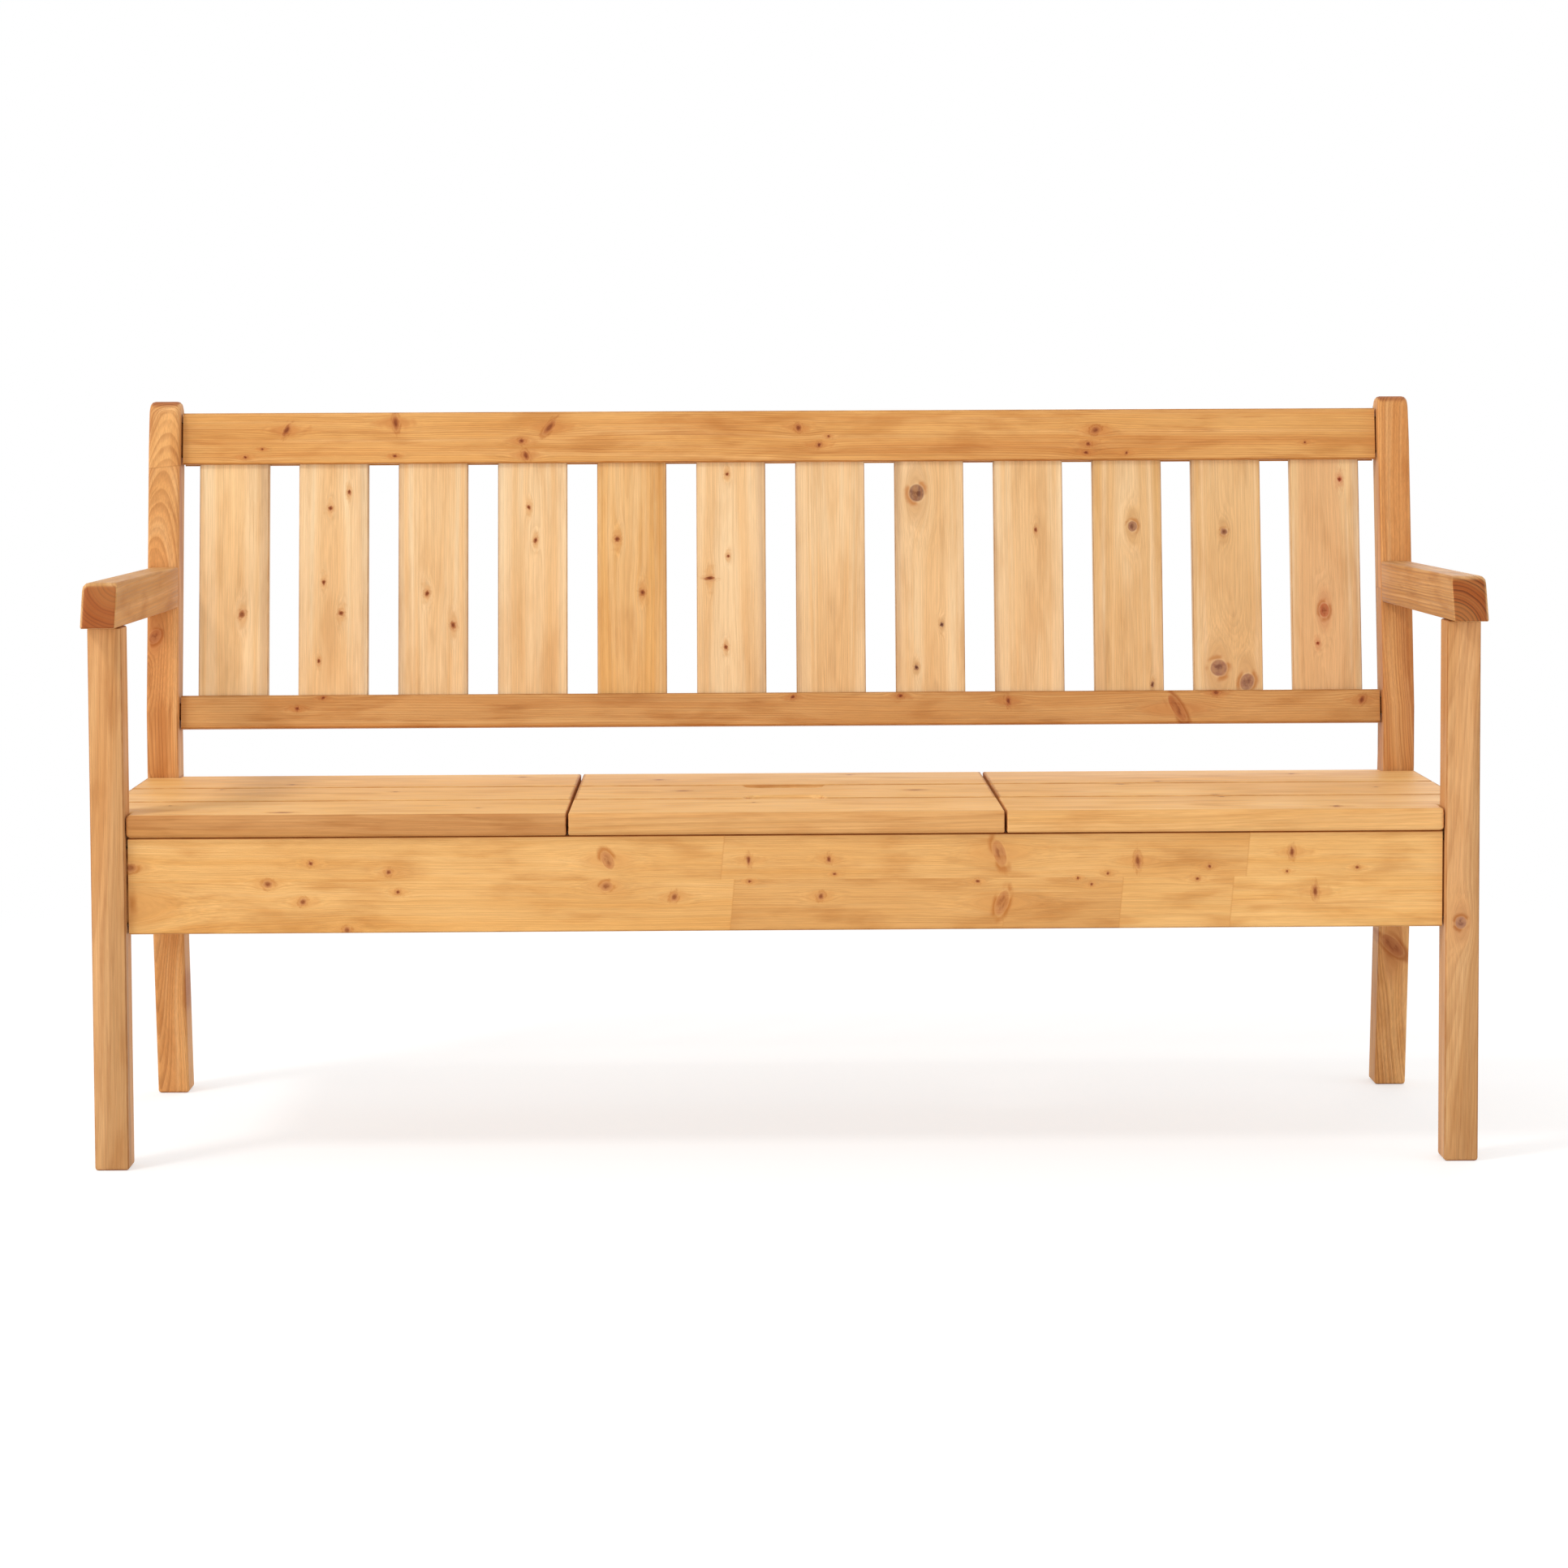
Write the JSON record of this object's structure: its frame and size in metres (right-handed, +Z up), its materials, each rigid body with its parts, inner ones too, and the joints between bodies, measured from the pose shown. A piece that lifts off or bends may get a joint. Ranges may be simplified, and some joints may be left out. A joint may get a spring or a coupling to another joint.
{
  "type": "garden bench with lift-up table",
  "caption": "Wooden garden bench with a slatted back and armrests; the middle of its seat swings up and forward on parallel arms to make a table.",
  "frame": {"origin": "on the floor, under the middle of the bench's overall box", "axes": "+X to the viewer's right along the bench, +Y from the front towards the back, +Z up"},
  "size_m": [1.716, 0.5802, 0.946],
  "materials": {
    "post_wood": "satin stain",
    "rail_wood": "satin stain",
    "slat_wood": "satin stain",
    "seat_wood": "satin stain",
    "steel": "zinc plated"
  },
  "bodies": {
    "frame": {"front_leg_left": "post_wood", "front_leg_right": "post_wood", "back_post_left": "post_wood", "back_post_right": "post_wood", "armrest_left": "post_wood", "armrest_right": "post_wood", "front_apron": "rail_wood", "side_rail_left": "rail_wood", "side_rail_right": "rail_wood", "rear_seat_rail": "rail_wood", "table_bearer_left": "rail_wood", "table_bearer_right": "rail_wood", "back_low_rail": "rail_wood", "back_top_rail": "rail_wood", "back_slat_01": "slat_wood", "back_slat_02": "slat_wood", "back_slat_03": "slat_wood", "back_slat_04": "slat_wood", "back_slat_05": "slat_wood", "back_slat_06": "slat_wood", "back_slat_07": "slat_wood", "back_slat_08": "slat_wood", "back_slat_09": "slat_wood", "back_slat_10": "slat_wood", "back_slat_11": "slat_wood", "back_slat_12": "slat_wood", "seat_front_board_left": "seat_wood", "seat_middle_board_left": "seat_wood", "seat_rear_board_left": "seat_wood", "seat_front_board_right": "seat_wood", "seat_middle_board_right": "seat_wood", "seat_rear_board_right": "seat_wood", "bearer_bolt_front_left": "steel", "bearer_bolt_front_right": "steel", "bearer_bolt_rear_left": "steel", "bearer_bolt_rear_right": "steel", "bearer_washer_front_left": "steel", "bearer_washer_front_right": "steel", "bearer_washer_rear_left": "steel", "bearer_washer_rear_right": "steel"},
    "front_arm_left": {"swing_arm_front_left": "rail_wood"},
    "front_arm_right": {"swing_arm_front_right": "rail_wood"},
    "rear_arms": {"swing_arm_rear_left": "rail_wood", "swing_arm_rear_right": "rail_wood", "swing_arm_stretcher": "rail_wood"},
    "table": {"table_front_board": "seat_wood", "table_middle_board": "seat_wood", "table_rear_board": "seat_wood", "table_cleat_left": "rail_wood", "table_cleat_right": "rail_wood", "table_bolt_front_left": "steel", "table_bolt_front_right": "steel", "table_bolt_rear_left": "steel", "table_bolt_rear_right": "steel", "table_washer_front_left": "steel", "table_washer_front_right": "steel", "table_washer_rear_left": "steel", "table_washer_rear_right": "steel"}
  },
  "joints": [
    {"name": "table_lift", "type": "hinge", "parent": "frame", "child": "front_arm_left", "pos_m": [0, -0.18547, 0.3912], "axis": [1, 0, 0], "range_deg": [0, 98]},
    {"name": "front_arm_right_turn", "type": "hinge", "parent": "frame", "child": "front_arm_right", "pos_m": [0, -0.18547, 0.3912], "axis": [1, 0, 0], "range_deg": [0, 98]},
    {"name": "rear_arms_turn", "type": "hinge", "parent": "frame", "child": "rear_arms", "pos_m": [0, -0.05547, 0.3452], "axis": [1, 0, 0], "range_deg": [0, 98]},
    {"name": "table_level", "type": "hinge", "parent": "front_arm_left", "child": "table", "pos_m": [0, 0.0379, 0.3912], "axis": [1, 0, 0], "range_deg": [-98, 0]}
  ],
  "couplings": [
    {"joint": "front_arm_right_turn", "follows": "table_lift", "ratio": 1},
    {"joint": "rear_arms_turn", "follows": "table_lift", "ratio": 1},
    {"joint": "table_level", "follows": "table_lift", "ratio": -1}
  ]
}
